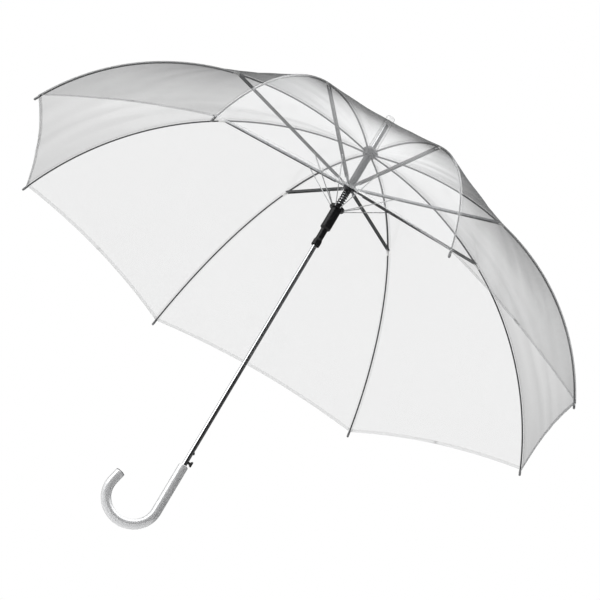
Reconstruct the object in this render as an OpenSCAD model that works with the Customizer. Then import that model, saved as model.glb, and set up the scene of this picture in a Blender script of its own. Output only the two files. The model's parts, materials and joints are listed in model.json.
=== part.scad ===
// Clear automatic stick umbrella with eight ribs and a crook handle.
// The shaft stands on +Z with the ferrule up. The origin is on its axis, in the middle of the held
// part of the grip.

/* [Canopy] */
// Number of ribs, and so of canopy gores
rib_count = 8; // [8]
// Radius of the open canopy at the rib tips
tip_r = 510; // [480:5:540]
// Drop of the rib tips below the rib hinges
tip_drop = 277; // [255:1:295]
// Thickness of the canopy solid
film_t = 0.25; // [0.2:0.05:0.6]
// How far the hem is drawn in at the middle of a gore
scallop = 12; // [0:1:20]

/* [Frame] */
// Height of the rib hinges above the origin
hub_z = 658; // [652:1:665]
// Drop of the upper runner's hinges below the rib hinges, open
runner_drop = 68; // [64:1:76]
// Radius at which a stretcher meets its rib, open
joint_r = 256; // [250:1:262]
// Radius of the hinge circle in the top notch and in the upper runner
pivot_r = 8; // [8]
// Half of the turn of the inner part of a rib, in degrees
inner_bow = 13.5; // [10:0.5:18]
// Rib diameter
rib_d = 3; // [2.4:0.2:3]
// Outer width of a stretcher channel
channel_w = 5.3; // [5.2:0.1:5.4]
// Height of a stretcher channel
channel_h = 3.4; // [3:0.2:3.4]
// Distance of a link's hinge along its stretcher from the upper runner
link_at = 75; // [72:1:78]
// Diameter of a link
link_d = 1.6; // [1.4:0.1:1.6]

/* [Shaft and runners] */
// Outer diameter of the shaft
shaft_d = 8; // [8]
// Wall of the shaft
shaft_wall = 0.7; // [0.6:0.1:0.8]
// Height of the top end of the shaft
shaft_top = 717; // [710:1:724]
// Height of the bottom end of the shaft, inside the handle
shaft_bottom = -30; // [-40:1:-10]
// Running gap between the shaft and a runner's bore
runner_gap = 0.3; // [0.3:0.05:0.4]
// Distance from the upper runner's hinges down to the lower runner's, open
runner_gap_open = 42; // [38:1:44]
// Turns of the opening spring
spring_turns = 12; // [9:1:12]

/* [Handle] */
// Diameter of the crook
handle_d = 16; // [15:0.5:18]
// Height of the top of the handle
handle_top = 49; // [45:1:50]
// Depth of the crook's bend centre below the origin
crook_z = 35.5; // [32:0.5:60]
// Radius of the bend, on the crook's centreline
crook_r = 41.5; // [38:0.5:44]
// Turn of the bend, in degrees
crook_turn = 192; // [180:2:200]
// Length of the straight end of the hook
hook_end = 16; // [12:1:26]
// Height of the push button
button_z = 57; // [57]

/* [Ferrule] */
// Outer diameter of the clear ferrule
ferrule_d = 15; // [13:0.5:16]
// Height of the end of the ferrule
ferrule_top = 734; // [729:1:739]

/* [Hidden] */
$fn = 48;

// Directions
first_rib = 20;
rib_step = 360 / rib_count;
half_gore = rib_step / 2;

// Rib: two arcs that meet at the stretcher's hinge without a kink
joint_z = -runner_drop / 2;
in_slope = atan2(-joint_z, joint_r - pivot_r);
in_chord = norm([joint_r - pivot_r, joint_z]);
in_arc_r = in_chord / 2 / sin(inner_bow);
in_mid = [(pivot_r + joint_r) / 2, joint_z / 2];
in_centre = in_mid - in_arc_r * cos(inner_bow) * [sin(in_slope), cos(in_slope)];
in_start = 90 - in_slope + inner_bow;
in_end = 90 - in_slope - inner_bow;
out_slope = atan2(tip_drop + joint_z, tip_r - joint_r);
outer_bow = out_slope - in_slope - inner_bow;
out_chord = norm([tip_r - joint_r, tip_drop + joint_z]);
out_arc_r = out_chord / 2 / sin(outer_bow);
out_mid = [(joint_r + tip_r) / 2, (joint_z - tip_drop) / 2];
out_centre = out_mid - out_arc_r * cos(outer_bow) * [sin(out_slope), cos(out_slope)];
out_start = 90 - out_slope + outer_bow;
out_end = 90 - out_slope - outer_bow;

// Fit of the fixed pieces on one another, per side, and how far shapes of one piece run into each other
fit_gap = 0.05;
joined = 0.5;

// Hinge details
tongue_t = 1.6;
tongue_h = 3;
slot_w = 2.2;
slot_r = 6.4;
eye_bore = 1.5;
wire_d = 1.2;
wire_play = 0.4;
pin_d = 1.4;
link_pin_d = 1.2;
link_eye_d = 2.8;
cheek_t = 0.8;
fork_gap = 0.2;
joint_eye_r = 1.9;
tongue_free = 6.5;
rib_start = tongue_free / in_arc_r * 180 / PI;
joint_free = 4;
in_stop = joint_free / in_arc_r * 180 / PI;
out_from = joint_free / out_arc_r * 180 / PI;
out_rod_d = rib_d - 0.4;
sleeve_l = 12;
sleeve_d = 3.8;
cap_d = 3.8;
cap_l = 11;
cap_past = 5;

// Stretcher channel
channel_wall = 0.6;
channel_from = 20;
bar_from = 7.5;
bar_w = 3.2;
bar_h = 2.6;
bar_in = 6;
web_stop = 14;
window_l = 4.4;
rivet_d = 2.6;
rivet_past = 0.4;

// Hubs
notch_r = 10;
notch_up = 3.5;
notch_down = 5;
slot_open = 2.4;
cap_bottom = hub_z + notch_up;
cap_rim = 2;
cap_h = 7;
cap_top = cap_bottom + cap_h;
cap_r = 13;
runner_r = 9.5;
runner_half = 4.5;
sleeve_r = 6.2;
stop_gap = 0.5;
upper_z = hub_z - runner_drop;
lower_z = upper_z - runner_gap_open;
bore_r = shaft_d / 2 + runner_gap;
crown_r = 12.6;
crown_half = 2;
crown_slot_r = 9.4;
lower_pivot_r = 11.2;
lower_wire_d = 1;
barrel_r = 8.6;
barrel_l = 38;
neck_r = 5.8;
neck_l = 21;
neck_flare = 3;
foot_r = 7;
foot_l = 13;
foot_flare = 4;
foot_bore_r = 6.2;
foot_bore_l = 10;
spring_r = 5.5;
spring_wire = 1.2;
spring_seat_r = 7.2;
spring_seat = 14;
spring_gap = 0.3;

// Handle and ferrule details
lip_h = 1;
lip_in = 2;
plug_d = handle_d - 3;
plug_l = 8;
end_disc_h = 1.2;
end_disc_in = 0.6;
ferrule_round = 4;

// Button and catch, on one side of the shaft
button_d = 4.4;
button_in = 0.8;
button_neck = 6.7;
button_gap = 0.25;
flange_t = 1.2;
flange_h = 7.2;
head_d = 9.4;
head_foot_d = 6;
head_flare = 2;
head_h = 4.2;
head_edge = 0.8;
catch_z = 72;
catch_h = 7;
catch_w = 1.8;
catch_out = 1.8;
catch_face = 2.5;
catch_play = 1.5;
catch_gap = 0.2;
leg_x = -0.4;
leg_t = 0.9;
leg_down = 9;

// Film
film_off = 2.6;
film_edge = 4.5;
film_gap = 0.2;
hem_back = 5;
hem_power = 6;
hem_side = 0.35;
hem_lift = 0.45;
rows_in = 8;
rows_out = 10;
side_cols = 4;

// Points of the canopy along a rib, from the crown to the hem, on the arcs raised by off
function arc_point(centre, radius, angle) = centre + radius * [cos(angle), sin(angle)];
function film_profile(off) = concat(
    [for (k = [0:rows_in - 1])
        let (edge = film_edge / in_arc_r * 180 / PI)
        arc_point(in_centre, in_arc_r + off,
            in_start - edge - (in_start - edge - in_end) * k / rows_in)],
    [for (k = [0:rows_out])
        let (stop = hem_back / out_arc_r * 180 / PI)
        arc_point(out_centre, out_arc_r + off,
            out_start - (out_start - out_end - stop) * k / rows_out)]
);

// A point of a petal: t runs from -1 to 1 across, from one mid-gore line to the other
function petal_point(p, t, row) =
    let (
        w = p.x * sin(half_gore) * cos(half_gore),
        x = p.x * (1 - sin(half_gore) * sin(half_gore) * abs(t)),
        draw = scallop * pow(row, hem_power) * (1 - pow(1 - abs(t), 2)),
        y = (w - film_gap) * t
    )
    [x - draw * sin(in_slope + out_slope), y - sign(t) * draw * hem_side, p.y + draw * hem_lift];

// A helix of round wire, swept as rings of points
function helix_ring(radius, wire, pitch, turn, sides) = [
    for (s = [0:sides - 1])
        let (a = 360 * s / sides, c = radius + wire / 2 * cos(a))
        [c * cos(360 * turn), c * sin(360 * turn), pitch * turn + wire / 2 * sin(a)]
];

module on_rib(i) {
    translate([0, 0, hub_z])
        rotate([0, 0, first_rib + rib_step * (i - 1)])
            children();
}

// Draws its children along a line in the rib's plane: x along the line, z across it
module along(from, slope) {
    translate([from.x, 0, from.y])
        rotate([0, slope, 0])
            children();
}

module arc_rod(centre, radius, a0, a1, d) {
    translate([centre.x, 0, centre.y])
        rotate([90, 0, 0])
            rotate_extrude(angle = a0 - a1, start = a1, $fn = 96)
                translate([radius, 0])
                    circle(d = d, $fn = 24);
}

module cross_cylinder(d, w) {
    rotate([90, 0, 0])
        cylinder(d = d, h = w, center = true, $fn = 32);
}

// A flat tongue on the rib's plane, round about its hinge and l long
module tongue(l, w, h) {
    cross_cylinder(h, w);
    translate([0, -w / 2, -h / 2])
        cube([l, w, h]);
}

module slots(r_in, r_out, z0, z1) {
    for (i = [1:rib_count])
        rotate([0, 0, first_rib + rib_step * (i - 1)])
            translate([r_in, -slot_w / 2, z0])
                cube([r_out - r_in, slot_w, z1 - z0]);
}

module wire_ring(r, d) {
    rotate_extrude($fn = 96)
        translate([r, 0])
            circle(d = d, $fn = 24);
}

module shaft() {
    color("silver")
        difference() {
            translate([0, 0, shaft_bottom])
                cylinder(d = shaft_d, h = shaft_top - shaft_bottom);
            translate([0, 0, shaft_bottom - 1])
                cylinder(d = shaft_d - 2 * shaft_wall, h = shaft_top - shaft_bottom + 2);
            translate([0, 0, button_z])
                rotate([0, 90, 0])
                    cylinder(d = button_d + 2 * button_gap, h = shaft_d);
            translate([0, -catch_w / 2 - catch_gap, catch_z - catch_play])
                cube([shaft_d, catch_w + 2 * catch_gap, catch_h + 2 * catch_play]);
        }
}

module shaft_bore(z, h) {
    translate([0, 0, z])
        cylinder(d = shaft_d + 2 * fit_gap, h = h);
}

module ferrule() {
    flat_r = ferrule_d / 2 - ferrule_round;
    color("white", 0.4)
        difference() {
            union() {
                translate([0, 0, cap_top])
                    cylinder(d = ferrule_d, h = ferrule_top - cap_top - ferrule_round);
                translate([0, 0, ferrule_top - ferrule_round])
                    rotate_extrude()
                        intersection() {
                            union() {
                                square([flat_r, ferrule_round]);
                                translate([flat_r, 0])
                                    circle(r = ferrule_round);
                            }
                            square([ferrule_d, ferrule_round]);
                        }
            }
            shaft_bore(cap_top - 1, shaft_top - cap_top + 1 + fit_gap);
        }
}

module top_cap() {
    color("dimgray")
        difference() {
            union() {
                translate([0, 0, cap_bottom])
                    cylinder(r = cap_r, h = cap_rim);
                translate([0, 0, cap_bottom + cap_rim])
                    cylinder(r1 = cap_r, r2 = ferrule_d / 2 + 1, h = cap_h - cap_rim);
            }
            shaft_bore(cap_bottom - 1, cap_h + 2);
        }
}

module top_notch() {
    color("dimgray")
        translate([0, 0, hub_z])
            difference() {
                translate([0, 0, -notch_down])
                    cylinder(r = notch_r, h = notch_up + notch_down);
                shaft_bore(-notch_down - 1, notch_up + notch_down + 2);
                slots(slot_r, notch_r + 1, -notch_down - 1, slot_open);
                wire_ring(pivot_r, wire_d);
            }
}

module notch_wire() {
    color("silver")
        translate([0, 0, hub_z])
            wire_ring(pivot_r, wire_d);
}

// The end of the crook's bend, with +Z along the hook's straight end
module at_hook() {
    translate([-crook_r, 0, -crook_z])
        rotate([0, crook_turn - 180, 0])
            translate([-crook_r, 0, 0])
                children();
}

module handle() {
    color("lightsteelblue")
        difference() {
            union() {
                translate([0, 0, -crook_z])
                    cylinder(d = handle_d, h = handle_top + crook_z - lip_h);
                translate([0, 0, handle_top - lip_h])
                    cylinder(d1 = handle_d, d2 = handle_d - lip_in, h = lip_h);
                translate([-crook_r, 0, -crook_z])
                    rotate([90, 0, 0])
                        rotate_extrude(angle = crook_turn, start = -crook_turn, $fn = 96)
                            translate([crook_r, 0])
                                circle(d = handle_d);
                at_hook()
                    cylinder(d = handle_d, h = hook_end);
            }
            shaft_bore(shaft_bottom - fit_gap, handle_top - shaft_bottom + 1);
            at_hook()
                translate([0, 0, hook_end - plug_l - fit_gap])
                    cylinder(d = plug_d + 2 * fit_gap, h = plug_l + 1);
        }
}

module handle_end_cap() {
    color("dimgray")
        at_hook() {
            translate([0, 0, hook_end - plug_l])
                cylinder(d = plug_d, h = plug_l);
            translate([0, 0, hook_end])
                cylinder(d = handle_d - end_disc_in, h = end_disc_h);
        }
}

module button() {
    color("black")
        translate([0, 0, button_z]) {
            rotate([0, 90, 0]) {
                translate([0, 0, button_in])
                    cylinder(d = button_d, h = button_neck + joined - button_in);
                translate([0, 0, button_neck])
                    cylinder(d1 = head_foot_d, d2 = head_d, h = head_flare);
                translate([0, 0, button_neck + head_flare])
                    cylinder(d = head_d, h = head_h - head_flare - head_edge);
                translate([0, 0, button_neck + head_h - head_edge])
                    cylinder(d1 = head_d, d2 = head_d - 2 * head_edge, h = head_edge);
            }
            translate([button_in, -button_d / 2, -flange_h / 2])
                cube([flange_t, button_d, flange_h]);
        }
}

module catch() {
    nose = shaft_d / 2 + catch_out;
    color("silver")
        rotate([90, 0, 0])
            linear_extrude(catch_w, center = true)
                polygon([
                    [leg_x, button_z - leg_down],
                    [leg_x + leg_t, button_z - leg_down],
                    [leg_x + leg_t, catch_z],
                    [nose, catch_z],
                    [nose, catch_z + catch_face],
                    [shaft_d / 2 - catch_play, catch_z + catch_h],
                    [leg_x, catch_z + catch_h]
                ]);
}

module upper_runner() {
    color("black")
        translate([0, 0, upper_z])
            difference() {
                union() {
                    translate([0, 0, -runner_half])
                        cylinder(r = runner_r, h = 2 * runner_half);
                    cylinder(r = sleeve_r, h = runner_drop - notch_down - stop_gap);
                }
                translate([0, 0, -runner_half - 1])
                    cylinder(r = bore_r, h = runner_drop + 2 * runner_half);
                slots(slot_r, runner_r + 1, -slot_open, runner_half + 1);
                wire_ring(pivot_r, wire_d);
            }
}

module upper_runner_wire() {
    color("silver")
        translate([0, 0, upper_z])
            wire_ring(pivot_r, wire_d);
}

module lower_runner() {
    floor_z = -crown_half - barrel_l;
    end_z = floor_z - neck_l - foot_l;
    color("black")
        translate([0, 0, lower_z])
            difference() {
                union() {
                    translate([0, 0, -crown_half])
                        cylinder(r = crown_r, h = 2 * crown_half);
                    translate([0, 0, floor_z])
                        cylinder(r = barrel_r, h = barrel_l + joined);
                    translate([0, 0, floor_z - neck_flare])
                        cylinder(r1 = neck_r, r2 = barrel_r, h = neck_flare);
                    translate([0, 0, floor_z - neck_l])
                        cylinder(r = neck_r, h = neck_l);
                    translate([0, 0, floor_z - neck_l - foot_flare])
                        cylinder(r1 = foot_r, r2 = neck_r, h = foot_flare);
                    translate([0, 0, end_z])
                        cylinder(r = foot_r, h = foot_l - foot_flare);
                }
                translate([0, 0, end_z - 1])
                    cylinder(r = bore_r, h = 2 + crown_half - end_z);
                translate([0, 0, crown_half - spring_seat])
                    cylinder(r = spring_seat_r, h = spring_seat + 1);
                translate([0, 0, end_z - 1])
                    cylinder(r = foot_bore_r, h = foot_bore_l + 1);
                slots(crown_slot_r, crown_r + 1, -crown_half - 1, crown_half + 1);
                wire_ring(lower_pivot_r, lower_wire_d);
            }
}

module lower_runner_wire() {
    color("silver")
        translate([0, 0, lower_z])
            wire_ring(lower_pivot_r, lower_wire_d);
}

module spring() {
    sides = 6;
    per_turn = 12;
    low = lower_z + crown_half - spring_seat + spring_gap + spring_wire / 2;
    high = upper_z - runner_half - spring_gap - spring_wire / 2;
    pitch = (high - low) / spring_turns;
    rings = spring_turns * per_turn;
    points = [for (k = [0:rings]) each helix_ring(spring_r, spring_wire, pitch, k / per_turn, sides)];
    walls = [for (k = [0:rings - 1], s = [0:sides - 1])
        let (a = k * sides + s, b = k * sides + (s + 1) % sides)
        [a, b, b + sides, a + sides]];
    color("dimgray")
        translate([0, 0, low])
            polyhedron(points, concat(
                [[for (s = [0:sides - 1]) sides - 1 - s]],
                walls,
                [[for (s = [0:sides - 1]) rings * sides + s]]
            ));
}

module rib_inner(i) {
    color("silver")
        on_rib(i)
            difference() {
                union() {
                    arc_rod(in_centre, in_arc_r, in_start - rib_start, in_end + in_stop, rib_d);
                    along([pivot_r, 0], in_slope - inner_bow)
                        tongue(tongue_free + 2, tongue_t, tongue_h);
                    along([joint_r, joint_z], in_slope + inner_bow + 180)
                        tongue(joint_free + 2, tongue_t, 2 * joint_eye_r);
                }
                translate([pivot_r, 0, 0])
                    cross_cylinder(eye_bore, 2 * tongue_t);
                translate([joint_r, 0, joint_z])
                    cross_cylinder(pin_d + fork_gap, 2 * tongue_t);
            }
}

// The outer part of a rib, with its white joint fitting and the cap on its tip
module rib_outer(i) {
    fork_y = tongue_t / 2 + fork_gap;
    on_rib(i) {
        color("silver")
            arc_rod(out_centre, out_arc_r, out_start - out_from, out_end, out_rod_d);
        color("white")
            difference() {
                along([joint_r, joint_z], out_slope - outer_bow)
                    union() {
                        translate([joint_free - 1, 0, 0])
                            rotate([0, 90, 0])
                                cylinder(d = sleeve_d, h = sleeve_l - joint_free + 1);
                        for (side = [-1, 1])
                            translate([0, side * (fork_y + cheek_t / 2), 0])
                                tongue(joint_free, cheek_t, 2 * joint_eye_r);
                    }
                translate([joint_r, 0, joint_z])
                    cross_cylinder(pin_d + fork_gap, 4 * tongue_t);
                arc_rod(out_centre, out_arc_r, out_start - out_from, out_end, out_rod_d);
            }
        color("gray")
            difference() {
                along([tip_r, -tip_drop], out_slope + outer_bow)
                    translate([cap_past - cap_l, 0, 0])
                        rotate([0, 90, 0])
                            cylinder(d = cap_d, h = cap_l);
                arc_rod(out_centre, out_arc_r, out_start - out_from, out_end, out_rod_d);
            }
    }
}

// The folded channel of a stretcher: open below, with a window in its web over the link's eye
module channel(length) {
    cheek_in = channel_w / 2 - channel_wall;
    difference() {
        union() {
            translate([channel_from, -channel_w / 2, -channel_h / 2])
                cube([length - channel_from, channel_w, channel_h]);
            translate([length, 0, 0])
                cross_cylinder(channel_h, channel_w);
            for (x = [link_at, length])
                translate([x, 0, 0])
                    cross_cylinder(rivet_d, channel_w + 2 * rivet_past);
        }
        difference() {
            translate([channel_from - 1, -cheek_in, -channel_h])
                cube([length, 2 * cheek_in, 2 * channel_h]);
            difference() {
                translate([0, -channel_w, channel_h / 2 - channel_wall])
                    cube([length - web_stop, 2 * channel_w, channel_h]);
                translate([link_at - window_l / 2, -channel_w, -channel_h])
                    cube([window_l, 2 * channel_w, 3 * channel_h]);
            }
            translate([length, 0, 0])
                cross_cylinder(pin_d, channel_w);
            translate([link_at, 0, 0])
                cross_cylinder(link_pin_d, channel_w);
        }
    }
}

// A stretcher: a flat eye on the upper runner's wire, a bar into the channel, and the channel to the rib
module stretcher(i) {
    color("gainsboro")
        on_rib(i)
            along([pivot_r, -runner_drop], -in_slope)
                difference() {
                    union() {
                        tongue(bar_from + 2, tongue_t, tongue_h);
                        translate([bar_from, -bar_w / 2, channel_h / 2 - bar_h])
                            cube([channel_from + bar_in - bar_from, bar_w, bar_h]);
                        channel(in_chord);
                    }
                    cross_cylinder(eye_bore, 2 * tongue_t);
                }
}

module link(i) {
    hinge = [pivot_r, -runner_drop] + link_at * [cos(in_slope), sin(in_slope)];
    root = [lower_pivot_r, -runner_drop - runner_gap_open];
    run = hinge - root;
    length = norm(run);
    slope = -atan2(run.y, run.x);
    color("silver")
        on_rib(i)
            along(root, slope)
                difference() {
                    union() {
                        rotate([0, 90, 0])
                            cylinder(d = link_d, h = length, $fn = 24);
                        for (x = [0, length])
                            translate([x, 0, 0])
                                cross_cylinder(link_eye_d, tongue_t);
                    }
                    cross_cylinder(lower_wire_d + wire_play, 2 * tongue_t);
                    translate([length, 0, 0])
                        cross_cylinder(pin_d, 2 * tongue_t);
                }
}

// One petal of the film: half a gore on each side of a rib
module canopy(i) {
    low = film_profile(film_off - film_t / 2);
    high = film_profile(film_off + film_t / 2);
    rows = len(low);
    cols = 2 * side_cols + 1;
    points = [for (side = [low, high], k = [0:rows - 1], j = [-side_cols:side_cols])
        petal_point(side[k], j / side_cols, k / (rows - 1))];
    top = rows * cols;
    inside = [for (k = [0:rows - 2], j = [0:cols - 2])
        let (a = k * cols + j)
        each [[a, a + 1, a + cols + 1], [a, a + cols + 1, a + cols]]];
    outside = [for (f = inside) [f[2] + top, f[1] + top, f[0] + top]];
    ends = [for (j = [0:cols - 2], k = [0, rows - 1])
        let (a = k * cols + j)
        k == 0 ? [a + 1, a, a + top, a + top + 1] : [a, a + 1, a + top + 1, a + top]];
    edges = [for (k = [0:rows - 2], j = [0, cols - 1])
        let (a = k * cols + j)
        j == 0 ? [a, a + cols, a + cols + top, a + top] : [a + cols, a, a + top, a + cols + top]];
    color("aliceblue", 0.3)
        on_rib(i)
            polyhedron(points, concat(inside, outside, ends, edges));
}

shaft();
ferrule();
top_cap();
top_notch();
notch_wire();
handle();
handle_end_cap();
button();
catch();
upper_runner();
upper_runner_wire();
lower_runner();
lower_runner_wire();
spring();
for (i = [1:rib_count]) {
    rib_inner(i);
    rib_outer(i);
    stretcher(i);
    link(i);
    canopy(i);
}
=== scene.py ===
import json
import math

import bpy
from mathutils import Matrix, Vector, noise

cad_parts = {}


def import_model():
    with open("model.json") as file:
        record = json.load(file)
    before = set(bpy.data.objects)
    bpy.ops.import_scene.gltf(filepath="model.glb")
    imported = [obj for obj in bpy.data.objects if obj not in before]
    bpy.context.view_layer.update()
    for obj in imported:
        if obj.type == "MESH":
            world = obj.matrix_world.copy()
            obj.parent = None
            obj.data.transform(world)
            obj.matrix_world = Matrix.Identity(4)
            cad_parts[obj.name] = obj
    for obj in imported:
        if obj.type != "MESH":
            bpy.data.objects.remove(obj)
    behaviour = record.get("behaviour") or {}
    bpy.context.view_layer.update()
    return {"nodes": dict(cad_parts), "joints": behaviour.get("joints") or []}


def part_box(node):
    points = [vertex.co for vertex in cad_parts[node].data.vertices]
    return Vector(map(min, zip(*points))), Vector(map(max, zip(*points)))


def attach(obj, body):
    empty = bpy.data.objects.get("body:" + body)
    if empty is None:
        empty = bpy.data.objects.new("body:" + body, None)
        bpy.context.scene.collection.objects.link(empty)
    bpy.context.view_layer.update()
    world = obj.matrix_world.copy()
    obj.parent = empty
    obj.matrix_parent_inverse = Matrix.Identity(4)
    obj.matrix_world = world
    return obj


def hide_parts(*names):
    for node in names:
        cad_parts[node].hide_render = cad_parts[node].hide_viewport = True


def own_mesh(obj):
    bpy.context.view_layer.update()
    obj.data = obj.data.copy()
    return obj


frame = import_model()

MM = 0.001
RIBS = 8
JOINTS = {j["name"]: j for j in frame["joints"]}
NODES = frame["nodes"]


def rib_joint(i):
    """The hinge that folds rib i."""
    return "fold" if i == 1 else f"rib_{i}_hinge"


def theta_of(i):
    """The direction of rib i, seen from above."""
    x, y, _ = JOINTS[rib_joint(i)]["pos_m"]
    return math.atan2(y, x)


def radius_of(p):
    """The distance of p from the shaft's axis."""
    return math.hypot(p[0], p[1])


def hand(side):
    """The word for one side of a rib in the names of pieces."""
    return "left" if side > 0 else "right"


# ---- where the frame is, in the plane of one rib: x outwards, z up ----
HUB = JOINTS["fold"]["pos_m"]
FLEX = JOINTS["rib_1_flex"]["pos_m"]
PIVOT_R, HUB_Z = radius_of(HUB), HUB[2]
JOINT_R, JOINT_Z = radius_of(FLEX), FLEX[2] - HUB_Z
TIP_R, TIP_Z = 510 * MM, -277 * MM
INNER_BOW = math.radians(13.5)
HALF_GORE = math.pi / RIBS

IN_SLOPE = math.atan2(-JOINT_Z, JOINT_R - PIVOT_R)
OUT_SLOPE = math.atan2(JOINT_Z - TIP_Z, TIP_R - JOINT_R)
OUTER_BOW = OUT_SLOPE - IN_SLOPE - INNER_BOW
END_SLOPE = OUT_SLOPE + OUTER_BOW


class Arc:
    """One part of a rib: an arc from a to b whose chord falls at slope. The bow is half of the
    angle that it turns through."""

    def __init__(self, a, b, slope, bow):
        self.bow = bow
        self.radius = math.dist(a, b) / 2 / math.sin(bow)
        drop = self.radius * math.cos(bow)
        self.centre = (
            (a[0] + b[0]) / 2 - drop * math.sin(slope),
            (a[1] + b[1]) / 2 - drop * math.cos(slope),
        )
        self.start = math.pi / 2 - slope + bow
        self.end = math.pi / 2 - slope - bow

    def at(self, angle, off):
        """The place off metres above the arc at an angle of its circle."""
        r = self.radius + off
        return self.centre[0] + r * math.cos(angle), self.centre[1] + r * math.sin(angle)


INNER = Arc((PIVOT_R, 0), (JOINT_R, JOINT_Z), IN_SLOPE, INNER_BOW)
OUTER = Arc((JOINT_R, JOINT_Z), (TIP_R, TIP_Z), OUT_SLOPE, OUTER_BOW)
INNER_LONG = 2 * INNER.bow * INNER.radius
OUTER_LONG = 2 * OUTER.bow * OUTER.radius

# ---- the film: its place above the ribs, and how far it hangs and waves between them ----
FILM_OFF = 2.6 * MM
CROWN_EDGE = 4.5 * MM
HEM_BACK = 5 * MM
SCALLOP, SCALLOP_POWER = 12 * MM, 6
SAG, SAG_POWER = 5 * MM, 0.8
RIPPLE = 1.1 * MM
WAVES_ROUND, WAVES_UP, WAVES_OUT = 9, 6, 3
ALONG = (INNER_LONG - CROWN_EDGE, OUTER_LONG - HEM_BACK)
GORE_LONG = sum(ALONG)
BESIDE = 1e-6  # a step off the rib that tells film_normal which side is meant


def across_gore(theta, x, z, t):
    """The place t across the gore, from the rib (0) to its middle (1 or -1), beside (x, z) in the
    rib's plane."""
    s, c = math.sin(HALF_GORE), math.cos(HALF_GORE)
    local = Vector((x * (1 - s * s * abs(t)), x * s * c * t, z + HUB_Z))
    return Matrix.Rotation(theta, 3, "Z") @ local


def film_point(theta, v, t, lift=0.0):
    """A point of the canopy: v metres along the rib from the crown's edge, t across the gore, and
    lift metres above the film."""
    if v <= ALONG[0]:
        arc, angle = INNER, INNER.start - (v + CROWN_EDGE) / INNER.radius
    else:
        arc, angle = OUTER, OUTER.start - (v - ALONG[0]) / OUTER.radius
    x, z = arc.at(angle, FILM_OFF + lift)
    share = min(1.0, max(0.0, v / GORE_LONG))
    bulge = abs(t) * (2 - abs(t))
    ripple = RIPPLE * bulge * min(1, share * 4) * ripple_at(across_gore(theta, x, z, t))
    sag = SAG * bulge * math.sin(math.pi * share) ** SAG_POWER - ripple
    draw = SCALLOP * share**SCALLOP_POWER * bulge
    x -= draw * math.cos(END_SLOPE) + sag * math.cos(angle)
    z += draw * math.sin(END_SLOPE) - sag * math.sin(angle)
    return across_gore(theta, x, z, t)


def ripple_at(p):
    """Soft waves that run down the film, from smooth noise of the place itself."""
    around = math.atan2(p.y, p.x)
    return noise.noise(Vector((
        math.cos(around) * WAVES_ROUND, math.sin(around) * WAVES_ROUND,
        p.z * WAVES_UP + p.length * WAVES_OUT)))


def film_normal(theta, v, t):
    """The film's outward normal. At the gore's middle it lies in the gore's middle plane, so the
    two half-gores shade as one."""
    side = 1 if t >= 0 else -1
    step_across, step_down = 0.02, 0.5 * MM
    inner = t - side * step_across if abs(t) > 0.5 else t
    outer = t if abs(t) > 0.5 else t + side * step_across
    across = film_point(theta, v, outer) - film_point(theta, v, inner)
    if abs(t) > 0.99:
        middle = theta + side * HALF_GORE
        across = Vector((-math.sin(middle), math.cos(middle), 0)) * side
    down = film_point(theta, v + step_down, t) - film_point(theta, v - step_down, t)
    n = across.cross(down) * -side
    return n.normalized()


# ---- meshes ----
def new_mesh(name, points, faces, smooth=True):
    """A new object from points and faces."""
    mesh = bpy.data.meshes.new(name)
    mesh.from_pydata([tuple(p) for p in points], [], faces)
    mesh.validate()
    obj = bpy.data.objects.new(name, mesh)
    bpy.context.scene.collection.objects.link(obj)
    for f in mesh.polygons:
        f.use_smooth = smooth
    return obj


def finish_piece(piece, look, body=None, replaced=None):
    """Gives a piece its material, hides the node that it replaces, and hangs it on the body that carries
    it.
    """
    piece.data.materials.append(MATERIALS[look])
    if replaced:
        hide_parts(replaced)
    if body:
        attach(piece, body)


def tube_faces(rings, sides):
    """The wall and the two ends of a swept form whose points run ring by ring."""
    faces = []
    for k in range(rings - 1):
        for s in range(sides):
            a, b = k * sides + s, k * sides + (s + 1) % sides
            faces.append([a, b, b + sides, a + sides])
    faces.append(list(range(sides))[::-1])
    faces.append([(rings - 1) * sides + s for s in range(sides)])
    return faces


def grid_faces(rows, cols):
    """The faces of a sheet of rows by cols whose points run row by row."""
    corners = [k * (cols + 1) + j for k in range(rows) for j in range(cols)]
    return [[a, a + 1, a + cols + 2, a + cols + 1] for a in corners]


def rod(name, path, sides=16, grain=False):
    """Sweeps an oval along (point, normal, half width, half height) and closes its ends. With grain,
    each point also keeps its place round and along the rod for the material."""
    points, marks, run = [], [], 0.0
    for k, (p, normal, wide, high) in enumerate(path):
        before, after = path[max(k - 1, 0)][0], path[min(k + 1, len(path) - 1)][0]
        along = (after - before).normalized()
        across = along.cross(normal).normalized()
        up = across.cross(along)
        run += (p - before).length
        for s in range(sides):
            a = 2 * math.pi * s / sides
            points.append(p + across * wide * math.cos(a) + up * high * math.sin(a))
            marks.append((math.cos(a), math.sin(a), run))
    piece = new_mesh(name, points, tube_faces(len(path), sides))
    if grain:
        attribute = piece.data.attributes.new("grain", "FLOAT_VECTOR", "POINT")
        for value, mark in zip(attribute.data, marks):
            value.vector = mark
    return piece


def fold_with_rib(piece, i, part):
    """Carries a piece of film on its part of the rib, with a mesh of its own."""
    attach(piece, f"rib_{part}_{i}")
    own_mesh(piece)


# ---- the canopy's pieces ----
ROWS = {"inner": 14, "outer": 20}
COLS = 10


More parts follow.
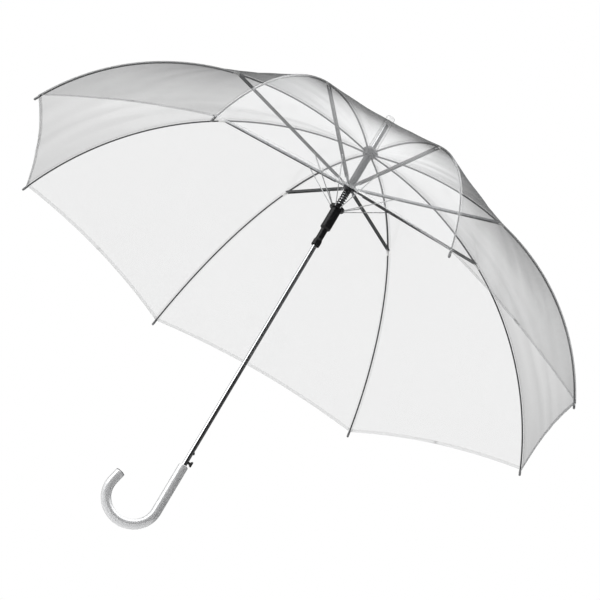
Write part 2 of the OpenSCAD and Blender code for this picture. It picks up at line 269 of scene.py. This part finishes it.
def film_half(i, part, side):
    """The film on one side of one part of a rib, as far as the gore's middle."""
    theta = theta_of(i)
    lo, hi = (0, ALONG[0]) if part == "inner" else (ALONG[0], GORE_LONG)
    points, normals = [], []
    for k in range(ROWS[part] + 1):
        v = lo + (hi - lo) * k / ROWS[part]
        for j in range(COLS + 1):
            t = side * j / COLS
            points.append(film_point(theta, v, t))
            normals.append(film_normal(theta, v, t if j else side * BESIDE))
    faces = [quad[::-side] for quad in grid_faces(ROWS[part], COLS)]
    piece = new_mesh(f"film_{part}_{i}_{hand(side)}", points, faces)
    piece.data.normals_split_custom_set_from_vertices(normals)
    finish_piece(piece, "film", replaced=f"canopy_{i}")
    fold_with_rib(piece, i, part)


def ribbon(name, spine, section):
    """Sweeps a closed section along a list of (point, across, normal)."""
    points = []
    for p, across, normal in spine:
        points += [p + across * w + normal * h for w, h in section]
    return new_mesh(name, points, tube_faces(len(spine), len(section)))


HEM_STEPS = 14
# The hem's outline: distance up the film and height above it
HEM_SECTION = [(w * MM, h * MM) for w, h in (
    (0, -0.3), (0.5, -0.45), (1.0, -0.2), (4.9, -0.2), (5.2, -0.35), (5.5, -0.2),
    (5.5, 0.2), (5.2, 0.35), (4.9, 0.2), (1.0, 0.2), (0.5, 0.45), (0, 0.3))]


def hem_half(i, side):
    """The double edge of the film from a rib to the gore's middle, with a ridge along each side."""
    theta, spine = theta_of(i), []
    for j in range(HEM_STEPS + 1):
        t = side * j / HEM_STEPS
        p = film_point(theta, GORE_LONG, t)
        up = (film_point(theta, GORE_LONG - 2 * MM, t) - p).normalized()
        spine.append((p, up, film_normal(theta, GORE_LONG, t if j else side * BESIDE)))
    piece = ribbon(f"hem_{i}_{hand(side)}", spine, HEM_SECTION)
    finish_piece(piece, "hem")
    fold_with_rib(piece, i, "outer")


SEAM_WIDE = 5.2 * MM
SEAM_UP = 0.3 * MM
SEAM_START = 30 * MM
SEAM_GAP = 1.3 * MM
SEAM_ROWS, SEAM_COLS = 22, 6


def seam_edge(theta, v, side):
    """Where the seam's edge lies, or for a side between -1 and 1 a place inside it, in shares of
    the half-gore."""
    half = film_point(theta, v, 0).xy.length * math.sin(HALF_GORE)
    return side * min(SEAM_WIDE, 0.6 * half) / half


def seam(i, part):
    """The welded seam along a rib: a second layer of film, in two parts that stop short of the joint."""
    theta, points = theta_of(i), []
    lo, hi = ((SEAM_START, ALONG[0] - SEAM_GAP) if part == "inner"
              else (ALONG[0] + SEAM_GAP, GORE_LONG))
    for k in range(SEAM_ROWS + 1):
        v = lo + (hi - lo) * k / SEAM_ROWS
        for c in range(SEAM_COLS + 1):
            t = seam_edge(theta, v, 2 * c / SEAM_COLS - 1)
            points.append(film_point(theta, v, t, SEAM_UP))
    faces = [[a, d, c, b] for a, b, c, d in grid_faces(SEAM_ROWS, SEAM_COLS)]
    strip = new_mesh(f"seam_{part}_{i}", points, faces)
    finish_piece(strip, "seam", f"rib_{part}_{i}")


# ---- spring ----
SPRING_R, SPRING_WIRE, SPRING_TURNS = 5.3 * MM, 1.6 * MM, 12
PER_TURN, WIRE_SIDES = 40, 10
CLOSED_ENDS = 0.22  # how much closer the end turns stand than even ones


def spring():
    """The opening spring's coil, with its turns closer together at both ends."""
    lo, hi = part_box("spring")
    low, high = lo[2] + SPRING_WIRE / 2, hi[2] - SPRING_WIRE / 2
    steps = SPRING_TURNS * PER_TURN
    points = []
    for k in range(steps + 1):
        share = k / steps
        eased = share - CLOSED_ENDS * math.sin(2 * math.pi * share) / (2 * math.pi)
        a = 2 * math.pi * k / PER_TURN
        z = low + (high - low) * eased
        for s in range(WIRE_SIDES):
            b = 2 * math.pi * s / WIRE_SIDES
            r = SPRING_R + SPRING_WIRE / 2 * math.cos(b)
            points.append((r * math.cos(a), r * math.sin(a), z + SPRING_WIRE / 2 * math.sin(b)))
    piece = new_mesh("opening_spring", points, tube_faces(steps + 1, WIRE_SIDES))
    finish_piece(piece, "spring", "lower_runner", "spring")
    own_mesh(piece)


# ---- outer ribs ----
ROD_R, ROD_FROM, ROD_STEPS = 1.3 * MM, 4 * MM, 48
SLEEVE_FROM, SLEEVE_TO, SLEEVE_R, SLEEVE_EDGE = 3 * MM, 12 * MM, 1.9 * MM, 0.25 * MM
GROOVES_AT, GROOVE = (7 * MM, 9 * MM), 0.18 * MM
CHEEK_IN, CHEEK_OUT, CHEEK_LONG, CHEEK_STEPS = 1.0 * MM, 1.8 * MM, 4 * MM, 14
CAP_BACK, CAP_PAST, CAP_R, CAP_EDGE, CAP_STEPS = 6 * MM, 5 * MM, 1.9 * MM, 0.3 * MM, 8
# The cap's collar: distance past the tip, and how much wider than the cap
COLLAR = ((-1.2 * MM, 0), (-0.8 * MM, 0.25 * MM), (-0.2 * MM, 0.25 * MM), (0.2 * MM, 0))
FIT_SLOPE = OUT_SLOPE - OUTER_BOW


def in_rib(i, x, y, z):
    """A point given in the plane of rib i, from its height at the hinges."""
    return Matrix.Rotation(theta_of(i), 3, "Z") @ Vector((x, y, z + HUB_Z))


def turned(i, name, start, slope, profile, sides=24):
    """A round piece on a line in the rib's plane that starts at start and falls at slope. The profile
    is (along, radius)."""
    way = Vector((math.cos(slope), 0, -math.sin(slope)))
    up = Vector((math.sin(slope), 0, math.cos(slope)))
    turn = Matrix.Rotation(theta_of(i), 3, "Z")
    path = []
    for along, radius in profile:
        p = Vector((start[0], 0, start[1] + HUB_Z)) + way * along
        path.append((turn @ p, turn @ up, radius, radius))
    return rod(name, path, sides)


def finish_outer(piece, look, i):
    """Finishes a piece that rides on and stands for the outer part of rib i."""
    finish_piece(piece, look, f"rib_outer_{i}", f"rib_outer_{i}")


def rib_rod(i):
    """The bent rod of the outer rib, from inside its sleeve to the tip."""
    path = []
    from_angle = OUTER.start - ROD_FROM / OUTER.radius
    for k in range(ROD_STEPS + 1):
        angle = from_angle + (OUTER.end - from_angle) * k / ROD_STEPS
        x, z = OUTER.at(angle, 0)
        normal = Matrix.Rotation(theta_of(i), 3, "Z") @ Vector((math.cos(angle), 0, math.sin(angle)))
        path.append((in_rib(i, x, 0, z), normal, ROD_R, ROD_R))
    finish_outer(rod(f"rib_rod_{i}", path), "rib", i)


def rib_sleeve(i):
    """The white moulded sleeve that holds the outer rod, with two grooves round it."""
    profile = [(SLEEVE_FROM, 0.6 * SLEEVE_R), (SLEEVE_FROM, SLEEVE_R - SLEEVE_EDGE),
               (SLEEVE_FROM + SLEEVE_EDGE, SLEEVE_R)]
    for at in GROOVES_AT:
        profile += [(at, SLEEVE_R), (at + GROOVE, SLEEVE_R - GROOVE), (at + 2 * GROOVE, SLEEVE_R)]
    profile += [(SLEEVE_TO - SLEEVE_EDGE, SLEEVE_R), (SLEEVE_TO, SLEEVE_R - SLEEVE_EDGE),
                (SLEEVE_TO, ROD_R)]
    sleeve = turned(i, f"rib_sleeve_{i}", (JOINT_R, JOINT_Z), FIT_SLOPE, profile)
    finish_outer(sleeve, "white", i)


def rib_cheek(i, side):
    """One of the two white cheeks of the sleeve that hold the joint's pin."""
    outline = [(-SLEEVE_R * math.sin(a), SLEEVE_R * math.cos(a))
               for a in (math.pi * k / CHEEK_STEPS for k in range(CHEEK_STEPS + 1))]
    outline += [(CHEEK_LONG, -SLEEVE_R), (CHEEK_LONG, SLEEVE_R)]
    n, points = len(outline), []
    for y in (CHEEK_IN, CHEEK_OUT):
        for along, up in outline:
            x = JOINT_R + along * math.cos(FIT_SLOPE) + up * math.sin(FIT_SLOPE)
            z = JOINT_Z - along * math.sin(FIT_SLOPE) + up * math.cos(FIT_SLOPE)
            points.append(in_rib(i, x, side * y, z))
    faces = [list(range(n)), [n + k for k in range(n)][::-1]]
    faces += [[k, (k + 1) % n, n + (k + 1) % n, n + k][::-1] for k in range(n)]
    if side < 0:
        faces = [f[::-1] for f in faces]
    cheek = new_mesh(f"rib_cheek_{i}_{hand(side)}", points, faces, smooth=False)
    finish_outer(cheek, "white", i)


def rib_cap(i):
    """The cap on the rib's tip: a tube with a collar where the hem is held, and a round end."""
    profile = [(-CAP_BACK, ROD_R), (-CAP_BACK, CAP_R - CAP_EDGE), (-CAP_BACK + CAP_EDGE, CAP_R)]
    profile += [(along, CAP_R + more) for along, more in COLLAR]
    ball, point = CAP_PAST - CAP_R, 0.02 * MM
    profile += [(ball + CAP_R * math.sin(a), max(CAP_R * math.cos(a), point))
                for a in (math.pi / 2 * k / CAP_STEPS for k in range(CAP_STEPS + 1))]
    cap = turned(i, f"rib_cap_{i}", (TIP_R, TIP_Z), END_SLOPE, profile)
    finish_outer(cap, "tip", i)


# ---- handle ----
GRIP_R, LIP, BORE_R, BORE_DEEP = 8 * MM, 1 * MM, 4.05 * MM, 6 * MM
CROOK_Z, CROOK_R, CROOK_TURN = -35.5 * MM, 41.5 * MM, math.radians(192)
HOOK_END, HOOK_EDGE = 16 * MM, 0.4 * MM
LIP_STEPS, GRIP_STEPS, CROOK_STEPS, HOOK_STEPS, CROOK_SIDES = 4, 24, 96, 6, 64


def grip_path(top):
    """The straight grip, from inside its bore's mouth over the lip and down to the bend."""
    out = Vector((1, 0, 0))
    path = [(Vector((0, 0, z)), out, BORE_R, BORE_R) for z in (top - BORE_DEEP, top)]
    for k in range(LIP_STEPS + 1):
        a = math.pi / 2 * k / LIP_STEPS
        r = GRIP_R - LIP * (1 - math.sin(a))
        path.append((Vector((0, 0, top - LIP * (1 - math.cos(a)))), out, r, r))
    for k in range(1, GRIP_STEPS):
        z = top - LIP + (CROOK_Z - top + LIP) * k / GRIP_STEPS
        path.append((Vector((0, 0, z)), out, GRIP_R, GRIP_R))
    return path


def crook():
    """The bent tube of the handle."""
    path = grip_path(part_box("handle")[1][2])
    for k in range(CROOK_STEPS + 1):
        a = CROOK_TURN * k / CROOK_STEPS
        centre = Vector((-CROOK_R + CROOK_R * math.cos(a), 0, CROOK_Z - CROOK_R * math.sin(a)))
        path.append((centre, Vector((math.cos(a), 0, -math.sin(a))), GRIP_R, GRIP_R))
    end, normal = path[-1][0], path[-1][1]
    way = Vector((-math.sin(CROOK_TURN), 0, -math.cos(CROOK_TURN)))
    path += [(end + way * HOOK_END * k / HOOK_STEPS, normal, GRIP_R, GRIP_R)
             for k in range(1, HOOK_STEPS)]
    path += [(end + way * (HOOK_END - HOOK_EDGE), normal, GRIP_R, GRIP_R),
             (end + way * HOOK_END, normal, GRIP_R - HOOK_EDGE, GRIP_R - HOOK_EDGE)]
    finish_piece(rod("crook_handle", path, CROOK_SIDES, grain=True),
                 "handle", "root", "handle")


# ---- materials ----
EVEN = (1, 1, 1)
SHEET_SLANT_STOPS = (0.0, 0.5, 0.65, 0.75, 0.85, 0.92, 1.0)
GRAZING_GLOSS, GLOSS_POWER = 0.6, 6


def shader(name):
    """A new material with its nodes, its links and its main shader."""
    m = bpy.data.materials.new(name)
    m.use_nodes = True
    nodes = m.node_tree.nodes
    return m, nodes, m.node_tree.links, nodes["Principled BSDF"]


def texture(nodes, links, scale, detail=4.0, stretch=EVEN, source="Object"):
    """Noise in the object's own space, or round and along a rod for the source "grain"."""
    if source == "grain":
        coords = nodes.new("ShaderNodeAttribute")
        coords.attribute_name = "grain"
        out = coords.outputs["Vector"]
    else:
        out = nodes.new("ShaderNodeTexCoord").outputs[source]
    mapping = nodes.new("ShaderNodeMapping")
    mapping.inputs["Scale"].default_value = stretch
    links.new(out, mapping.inputs["Vector"])
    tex = nodes.new("ShaderNodeTexNoise")
    tex.inputs["Scale"].default_value = scale
    tex.inputs["Detail"].default_value = detail
    links.new(mapping.outputs["Vector"], tex.inputs["Vector"])
    return tex


def ramp(nodes, links, source, stops):
    """A colour ramp over (place, grey or colour) stops."""
    node = nodes.new("ShaderNodeValToRGB")
    links.new(source, node.inputs["Fac"])
    el = node.color_ramp.elements
    while len(el) < len(stops):
        el.new(0.5)
    for e, (at, value) in zip(el, stops):
        e.position = at
        e.color = (*value, 1) if isinstance(value, tuple) else (value, value, value, 1)
    return node


def bump(nodes, links, shader_node, source, strength, distance, bevel=0.0):
    """Fine relief, over edges that are softened by the bevel's radius."""
    node = nodes.new("ShaderNodeBump")
    node.inputs["Strength"].default_value = strength
    node.inputs["Distance"].default_value = distance
    links.new(source, node.inputs["Height"])
    if bevel:
        soft = nodes.new("ShaderNodeBevel")
        soft.samples = 4
        soft.inputs["Radius"].default_value = bevel
        links.new(soft.outputs["Normal"], node.inputs["Normal"])
    links.new(node.outputs["Normal"], shader_node.inputs["Normal"])


def solid(name, dark, light, rough, scale, stretch=EVEN, bumpy=0.1, metallic=0.0, bevel=0.3 * MM,
          source="Object", coat=0.0, shine=0.5):
    """Colour, gloss and fine relief that vary together with one noise, and a coarser one for
    handling marks in the gloss."""
    m, nodes, links, b = shader(name)
    b.inputs["Metallic"].default_value = metallic
    b.inputs["Coat Weight"].default_value = coat
    b.inputs["Specular IOR Level"].default_value = shine
    fine = texture(nodes, links, scale, 6.0, stretch, source)
    colour = ramp(nodes, links, fine.outputs["Fac"], ((0.32, dark), (0.68, light)))
    links.new(colour.outputs["Color"], b.inputs["Base Color"])
    worn = texture(nodes, links, scale / 9, 3.0, stretch, source)
    mixed = nodes.new("ShaderNodeMix")
    mixed.inputs["Factor"].default_value = 0.5
    links.new(fine.outputs["Fac"], mixed.inputs["A"])
    links.new(worn.outputs["Fac"], mixed.inputs["B"])
    gloss = ramp(nodes, links, mixed.outputs["Result"], ((0.35, rough[0]), (0.65, rough[1])))
    links.new(gloss.outputs["Color"], b.inputs["Roughness"])
    bump(nodes, links, b, fine.outputs["Fac"], bumpy, 0.2 * MM, bevel)
    return m


def clear(name, haze, haze_colour, rough, tint, shine, wrinkle=0.2):
    """A thin clear sheet: what is behind it shows through, and its gloss grows at a slant. The tint
    is what passes through, as (slant, share) stops."""
    m, nodes, links, b = shader(name)
    slant = nodes.new("ShaderNodeLayerWeight")
    slant.inputs["Blend"].default_value = 0.5
    facing = slant.outputs["Facing"]
    b.inputs["Base Color"].default_value = (*haze_colour, 1)
    b.inputs["Roughness"].default_value = 0.5
    gloss = nodes.new("ShaderNodeBsdfGlossy")
    gloss.inputs["Color"].default_value = (0.95, 0.96, 0.97, 1)
    marks = texture(nodes, links, 55.0, 5.0)
    smooth = ramp(nodes, links, marks.outputs["Fac"], ((0.3, rough[0]), (0.75, rough[1])))
    links.new(smooth.outputs["Color"], gloss.inputs["Roughness"])
    bump(nodes, links, gloss, texture(nodes, links, 9.0, 3.0).outputs["Fac"], wrinkle, 4 * MM)
    see = nodes.new("ShaderNodeBsdfTransparent")
    dim = ramp(nodes, links, facing, tint)
    links.new(dim.outputs["Color"], see.inputs["Color"])
    hazy = nodes.new("ShaderNodeMixShader")
    hazy.inputs["Fac"].default_value = haze
    links.new(see.outputs["BSDF"], hazy.inputs[1])
    links.new(b.outputs["BSDF"], hazy.inputs[2])
    mirror = ramp(nodes, links, facing, tuple(
        (at, shine + (GRAZING_GLOSS - shine) * at**GLOSS_POWER) for at in SHEET_SLANT_STOPS))
    mix = nodes.new("ShaderNodeMixShader")
    links.new(mirror.outputs["Color"], mix.inputs["Fac"])
    links.new(hazy.outputs["Shader"], mix.inputs[1])
    links.new(gloss.outputs["BSDF"], mix.inputs[2])
    links.new(mix.outputs["Shader"], nodes["Material Output"].inputs["Surface"])
    return m


# Each tint below is (slant, share that passes) stops; each solid has its darkest and lightest
# colour, its gloss range as roughness, and the scale of its grain.
FILM_TINT = ((0.0, 0.875), (0.6, 0.87), (0.68, 0.8), (0.76, 0.72), (1.0, 0.42))
HEM_TINT = ((0.6, 0.967), (1.0, 0.8))
SEAM_TINT = ((0.6, 0.972), (1.0, 0.9))
FERRULE_TINT = ((0.5, 0.96), (1.0, 0.4))
PLASTIC_GRAIN = 420.0
MATERIALS = {
    "film": clear("clear_film", 0.03, (0.86, 0.87, 0.88), (0.05, 0.14), FILM_TINT, shine=0.055),
    "hem": clear("film_hem", 0.06, (0.8, 0.81, 0.82), (0.12, 0.25), HEM_TINT, shine=0.03, wrinkle=0.05),
    "seam": clear("film_seam", 0.03, (0.85, 0.86, 0.87), (0.08, 0.16), SEAM_TINT,
                  shine=0.03, wrinkle=0.05),
    "ferrule": clear("clear_plastic", 0.03, (0.8, 0.81, 0.82), (0.03, 0.08), FERRULE_TINT,
                     shine=0.03, wrinkle=0.02),
    "chrome": solid("chrome_tube", (0.55, 0.56, 0.57), (0.72, 0.73, 0.74), (0.08, 0.2), 400.0,
                    stretch=(1, 1, 0.02), bumpy=0.05, metallic=1.0, bevel=0.0),
    "steel": solid("frame_steel", (0.15, 0.154, 0.158), (0.3, 0.305, 0.31), (0.28, 0.46), 260.0,
                   bumpy=0.12, metallic=1.0),
    "wire": solid("wire_steel", (0.34, 0.345, 0.35), (0.56, 0.565, 0.57), (0.22, 0.36), 300.0,
                  bumpy=0.08, metallic=1.0, bevel=0.0),
    "spring": solid("spring_steel", (0.008, 0.008, 0.009), (0.022, 0.022, 0.024), (0.35, 0.5), 400.0,
                    bevel=0.0, shine=0.2),
    "black": solid("black_plastic", (0.005, 0.005, 0.006), (0.014, 0.014, 0.015), (0.22, 0.4),
                   PLASTIC_GRAIN, shine=0.25),
    "hub": solid("hub_plastic", (0.015, 0.016, 0.018), (0.032, 0.034, 0.038), (0.3, 0.48),
                 PLASTIC_GRAIN),
    "white": solid("white_plastic", (0.76, 0.76, 0.75), (0.86, 0.86, 0.85), (0.32, 0.5),
                   PLASTIC_GRAIN),
    "handle": solid("silver_handle", (0.76, 0.766, 0.775), (0.86, 0.865, 0.872), (0.2, 0.3), 3.2,
                    stretch=(1, 1, 0.6), bumpy=0.03, metallic=0.35, bevel=0.0, source="grain",
                    coat=0.25),
    "cap": solid("dark_cap", (0.06, 0.062, 0.068), (0.12, 0.12, 0.13), (0.4, 0.55), PLASTIC_GRAIN),
    "tip": solid("tip_plastic", (0.12, 0.122, 0.126), (0.22, 0.223, 0.228), (0.18, 0.3), PLASTIC_GRAIN,
                 coat=0.4),
    "rib": solid("rib_rod", (0.04, 0.041, 0.043), (0.1, 0.102, 0.105), (0.25, 0.42), 300.0,
                 bumpy=0.08, metallic=0.3, bevel=0.0, coat=0.2),
}
NODE_LOOK = {
    "shaft": "chrome", "ferrule": "ferrule", "top_cap": "hub", "top_notch": "hub", "notch_wire": "wire",
    "handle_end_cap": "cap", "button": "black", "catch": "steel", "upper_runner": "hub",
    "upper_runner_wire": "wire", "lower_runner": "black", "lower_runner_wire": "wire",
}
FAMILY_LOOK = {"rib_inner_": "rib", "stretcher_": "steel", "link_": "wire"}


def dress_nodes():
    """Gives the CAD nodes that stay visible their materials."""
    for name, obj in NODES.items():
        look = NODE_LOOK.get(name) or FAMILY_LOOK.get(name[:-1])
        if look:
            obj.data.materials.clear()
            obj.data.materials.append(MATERIALS[look])


# ---- stage ----
KEY_PLACE, KEY_TARGET, KEY_SIZE, KEY_WATTS = (-3.0, -1.4, 2.2), (0, 0, 0.3), 3.0, 80
FLOOR_HALF, FLOOR_Z = 40.0, -3.2
FLOOR_TONES, FLOOR_GLOW = ((0.3, 0.62), (0.7, 0.65)), 0.1
CAMERA_PLACE = (0.0225, -4.2266, -1.157)
CAMERA_FORWARD, CAMERA_UP = (0.0003, 0.9397, 0.3420), (-0.5107, -0.2939, 0.8080)
CAMERA_LENS, CAMERA_SENSOR, CAMERA_FAR = 170.4, 36.0, 100
# What gloss mirrors, by direction: axis, where a panel begins, where it is full, its brightness.
# The last is the dim rest of the studio, the same all round.
PANELS = (("X", -0.7, -0.95, 1.2), ("Z", 0.68, 0.92, 2.8), ("Y", 0.2, 0.8, 0.2),
          ("Z", -0.1, -0.5, 0.5), ("X", 0.5, 0.9, 0.1), ("Y", -2.0, -1.0, 0.03))


def key_light():
    """One large soft light, high on the left."""
    light = bpy.data.lights.new("key", "AREA")
    light.shape, light.size, light.size_y = "RECTANGLE", KEY_SIZE, KEY_SIZE
    light.energy = KEY_WATTS
    obj = bpy.data.objects.new("key", light)
    bpy.context.scene.collection.objects.link(obj)
    obj.location = KEY_PLACE
    obj.rotation_euler = (Vector(KEY_TARGET) - Vector(KEY_PLACE)).to_track_quat("-Z", "Y").to_euler()


def world():
    """White to the eye. What gloss mirrors is a dark studio with bright panels."""
    w = bpy.data.worlds.new("studio")
    bpy.context.scene.world = w
    w.use_nodes = True
    nodes, links = w.node_tree.nodes, w.node_tree.links
    nodes.clear()
    split = nodes.new("ShaderNodeSeparateXYZ")
    links.new(nodes.new("ShaderNodeTexCoord").outputs["Generated"], split.inputs["Vector"])

    def panel(axis, start, full, level):
        node = nodes.new("ShaderNodeMapRange")
        for key, value in (("From Min", start), ("From Max", full), ("To Min", 0.0), ("To Max", level)):
            node.inputs[key].default_value = value
        links.new(split.outputs[axis], node.inputs["Value"])
        return node.outputs["Result"]

    level = panel(*PANELS[0])
    for values in PANELS[1:]:
        most = nodes.new("ShaderNodeMath")
        most.operation = "MAXIMUM"
        links.new(level, most.inputs[0])
        links.new(panel(*values), most.inputs[1])
        level = most.outputs["Value"]
    studio = nodes.new("ShaderNodeBackground")
    links.new(level, studio.inputs["Color"])
    white = nodes.new("ShaderNodeBackground")
    white.inputs["Color"].default_value = (1, 1, 1, 1)
    mix = nodes.new("ShaderNodeMixShader")
    links.new(nodes.new("ShaderNodeLightPath").outputs["Is Camera Ray"], mix.inputs["Fac"])
    links.new(studio.outputs["Background"], mix.inputs[1])
    links.new(white.outputs["Background"], mix.inputs[2])
    links.new(mix.outputs["Shader"], nodes.new("ShaderNodeOutputWorld").inputs["Surface"])


def floor():
    """A plain pale floor, well below the umbrella."""
    corners = [(x * FLOOR_HALF, y * FLOOR_HALF, FLOOR_Z)
               for x, y in ((-1, -1), (1, -1), (1, 1), (-1, 1))]
    obj = new_mesh("studio_floor", corners, [[0, 1, 2, 3]], smooth=False)
    m, nodes, links, b = shader("pale_floor")
    tone = ramp(nodes, links, texture(nodes, links, 3.0).outputs["Fac"], FLOOR_TONES)
    links.new(tone.outputs["Color"], b.inputs["Base Color"])
    b.inputs["Roughness"].default_value = 0.7
    b.inputs["Emission Color"].default_value = (1, 1, 1, 1)
    b.inputs["Emission Strength"].default_value = FLOOR_GLOW
    obj.data.materials.append(m)


def camera():
    """The photograph's view: from in front and below, rolled so that the shaft leans."""
    cam = bpy.data.cameras.new("camera")
    obj = bpy.data.objects.new("camera", cam)
    bpy.context.scene.collection.objects.link(obj)
    cam.lens, cam.sensor_width, cam.clip_end = CAMERA_LENS, CAMERA_SENSOR, CAMERA_FAR
    forward = Vector(CAMERA_FORWARD).normalized()
    right = forward.cross(Vector(CAMERA_UP)).normalized()
    up = right.cross(forward)
    rot = Matrix((right, up, -forward)).transposed()
    obj.matrix_world = Matrix.Translation(CAMERA_PLACE) @ rot.to_4x4()
    bpy.context.scene.camera = obj


# ---- build ----
camera()
world()
floor()
key_light()
dress_nodes()
for rib in range(1, RIBS + 1):
    for half in (1, -1):
        film_half(rib, "inner", half)
        film_half(rib, "outer", half)
        hem_half(rib, half)
    seam(rib, "inner")
    seam(rib, "outer")
    rib_rod(rib)
    rib_sleeve(rib)
    rib_cheek(rib, -1)
    rib_cheek(rib, 1)
    rib_cap(rib)
spring()
crook()

bpy.context.scene.view_settings.view_transform = "Standard"
# A ray passes many layers of film where the canopy is folded
bpy.context.scene.cycles.transparent_max_bounces = 32
